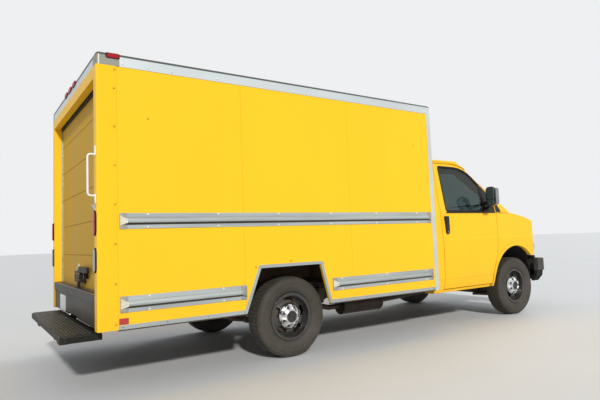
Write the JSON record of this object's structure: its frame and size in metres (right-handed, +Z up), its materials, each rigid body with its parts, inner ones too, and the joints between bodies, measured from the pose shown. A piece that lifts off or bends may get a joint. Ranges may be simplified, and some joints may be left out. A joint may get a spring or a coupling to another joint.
{
  "type": "box truck",
  "caption": "Box truck: a van cab and ladder frame carrying an aluminium-railed cargo box with a roll-up rear door, step bumper, rub rails and single rear wheels.",
  "frame": {"origin": "on the ground, midway between the front bumper and the rear step bumper, on the centre line", "axes": "+X forward, +Y to the truck's left, +Z up"},
  "size_m": [6.3708, 2.416, 2.588],
  "materials": {
    "yellow_paint": "warm yellow gloss paint, a little chalked",
    "aluminium": "bare extruded aluminium, brushed and weathered",
    "dark_steel": "black chassis paint with road dust",
    "cast_metal": "rough cast iron and machined steel",
    "rim_steel": "silver grey wheel enamel",
    "tyre": "matt black rubber",
    "glass": "lightly tinted clear glass",
    "black_plastic": "grained black moulding",
    "grey_plastic": "satin dark grey moulding",
    "red_lens": "clear red and white lens",
    "lamp_lens": "clear lens over a bright bowl",
    "roof_skin": "thin pale sheet, dull",
    "plywood": "oiled laminated hardwood deck",
    "seat_cloth": "dark grey woven cloth",
    "white_enamel": "white enamel"
  },
  "bodies": {
    "chassis": {"frame_rails": "dark_steel", "engine_block": "cast_metal", "front_suspension": "dark_steel", "driveshaft": "dark_steel", "rear_axle": "cast_metal", "leaf_springs": "dark_steel", "fuel_tank": "dark_steel", "exhaust": "cast_metal", "cab_shell": "yellow_paint", "cab_floor": "dark_steel", "windscreen": "glass", "dashboard": "grey_plastic", "seats": "seat_cloth", "front_fenders": "yellow_paint", "engine_bay": "black_plastic", "front_bumper": "grey_plastic", "grille": "grey_plastic", "headlamps": "lamp_lens", "box_floor": "plywood", "box_side_left": "yellow_paint", "box_side_right": "yellow_paint", "box_front_wall": "yellow_paint", "box_roof": "roof_skin", "upper_rails": "aluminium", "bottom_rails": "aluminium", "rub_rails": "aluminium", "rear_frame": "yellow_paint", "roll_up_door": "yellow_paint", "door_tracks": "aluminium", "door_latch": "dark_steel", "rear_lamps": "red_lens", "grab_handle": "white_enamel", "step_bumper": "dark_steel"},
    "hood": {"hood": "yellow_paint"},
    "door_left": {"door_left": "yellow_paint", "door_glass_left": "glass", "door_fittings_left": "black_plastic"},
    "door_right": {"door_right": "yellow_paint", "door_glass_right": "glass", "door_fittings_right": "black_plastic"},
    "steering_wheel": {"steering_wheel": "black_plastic"},
    "knuckle_left": {"knuckle_left": "cast_metal"},
    "knuckle_right": {"knuckle_right": "cast_metal"},
    "wheel_front_left": {"tyre_front_left": "tyre", "rim_front_left": "rim_steel"},
    "wheel_front_right": {"tyre_front_right": "tyre", "rim_front_right": "rim_steel"},
    "wheel_rear_left": {"tyre_rear_left": "tyre", "rim_rear_left": "rim_steel"},
    "wheel_rear_right": {"tyre_rear_right": "tyre", "rim_rear_right": "rim_steel"}
  },
  "joints": [
    {"name": "door_left_hinge", "type": "hinge", "parent": "chassis", "child": "door_left", "pos_m": [1.9955, 1.012, 0.9], "axis": [0, 0, -1], "range_deg": [0, 65]},
    {"name": "door_right_hinge", "type": "hinge", "parent": "chassis", "child": "door_right", "pos_m": [1.9955, -1.012, 0.9], "axis": [0, 0, 1], "range_deg": [0, 65]},
    {"name": "hood_hinge", "type": "hinge", "parent": "chassis", "child": "hood", "pos_m": [2.4855, 0, 1.3], "axis": [0, -1, 0], "range_deg": [0, 50]},
    {"name": "steer_left", "type": "hinge", "parent": "chassis", "child": "knuckle_left", "pos_m": [2.3205, 0.792, 0.372], "axis": [0, 0, 1], "range_deg": [-32, 32]},
    {"name": "steer_right", "type": "hinge", "parent": "chassis", "child": "knuckle_right", "pos_m": [2.3205, -0.792, 0.372], "axis": [0, 0, 1], "range_deg": [-32, 32]},
    {"name": "steering_column", "type": "hinge", "parent": "chassis", "child": "steering_wheel", "pos_m": [1.6805, 0.4, 1.205], "axis": [-0.848, 0, 0.5299], "range_deg": [-450, 450]},
    {"name": "spin_front_left", "type": "hinge", "parent": "knuckle_left", "child": "wheel_front_left", "pos_m": [2.3205, 0.8745, 0.372], "axis": [0, 1, 0], "continuous": true},
    {"name": "spin_front_right", "type": "hinge", "parent": "knuckle_right", "child": "wheel_front_right", "pos_m": [2.3205, -0.8745, 0.372], "axis": [0, 1, 0], "continuous": true},
    {"name": "spin_rear_left", "type": "hinge", "parent": "chassis", "child": "wheel_rear_left", "pos_m": [-1.2105, 0.8745, 0.372], "axis": [0, 1, 0], "continuous": true},
    {"name": "spin_rear_right", "type": "hinge", "parent": "chassis", "child": "wheel_rear_right", "pos_m": [-1.2105, -0.8745, 0.372], "axis": [0, 1, 0], "continuous": true}
  ],
  "couplings": [
    {"joint": "steer_right", "follows": "steer_left", "ratio": 1},
    {"joint": "steering_column", "follows": "steer_left", "ratio": 14}
  ]
}
